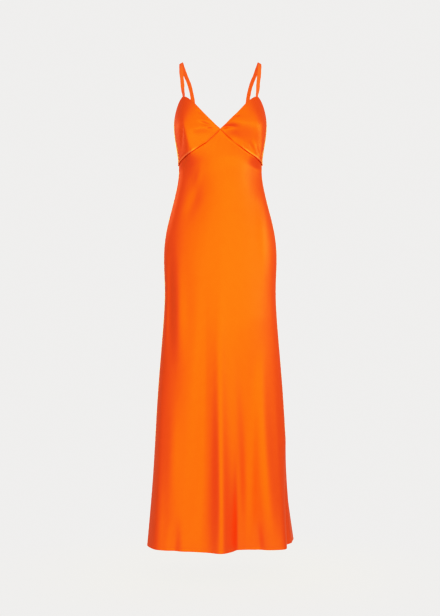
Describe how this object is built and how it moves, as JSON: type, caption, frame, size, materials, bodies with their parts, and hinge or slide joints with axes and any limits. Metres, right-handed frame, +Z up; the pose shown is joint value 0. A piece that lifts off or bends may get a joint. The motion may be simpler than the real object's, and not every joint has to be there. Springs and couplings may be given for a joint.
{
  "type": "evening gown",
  "caption": "Full-length bias-cut satin slip gown with a V neckline, two bust cups over a pointed seam, thin shoulder straps and a softly folded flared hem, hollow as if worn.",
  "frame": {"origin": "midway between the two places where the straps lie on the wearer's shoulders", "axes": "+Z up, from the hem to the shoulders; +Y to the back of the gown; +X to the wearer's left"},
  "size_m": [0.4537, 0.33, 1.4763],
  "materials": {
    "satin": "bright orange satin, soft anisotropic sheen"
  },
  "bodies": {
    "root": {"front_panel": "satin", "back_panel": "satin", "cup_left": "satin", "cup_right": "satin", "strap_left": "satin", "strap_right": "satin"}
  },
  "joints": []
}
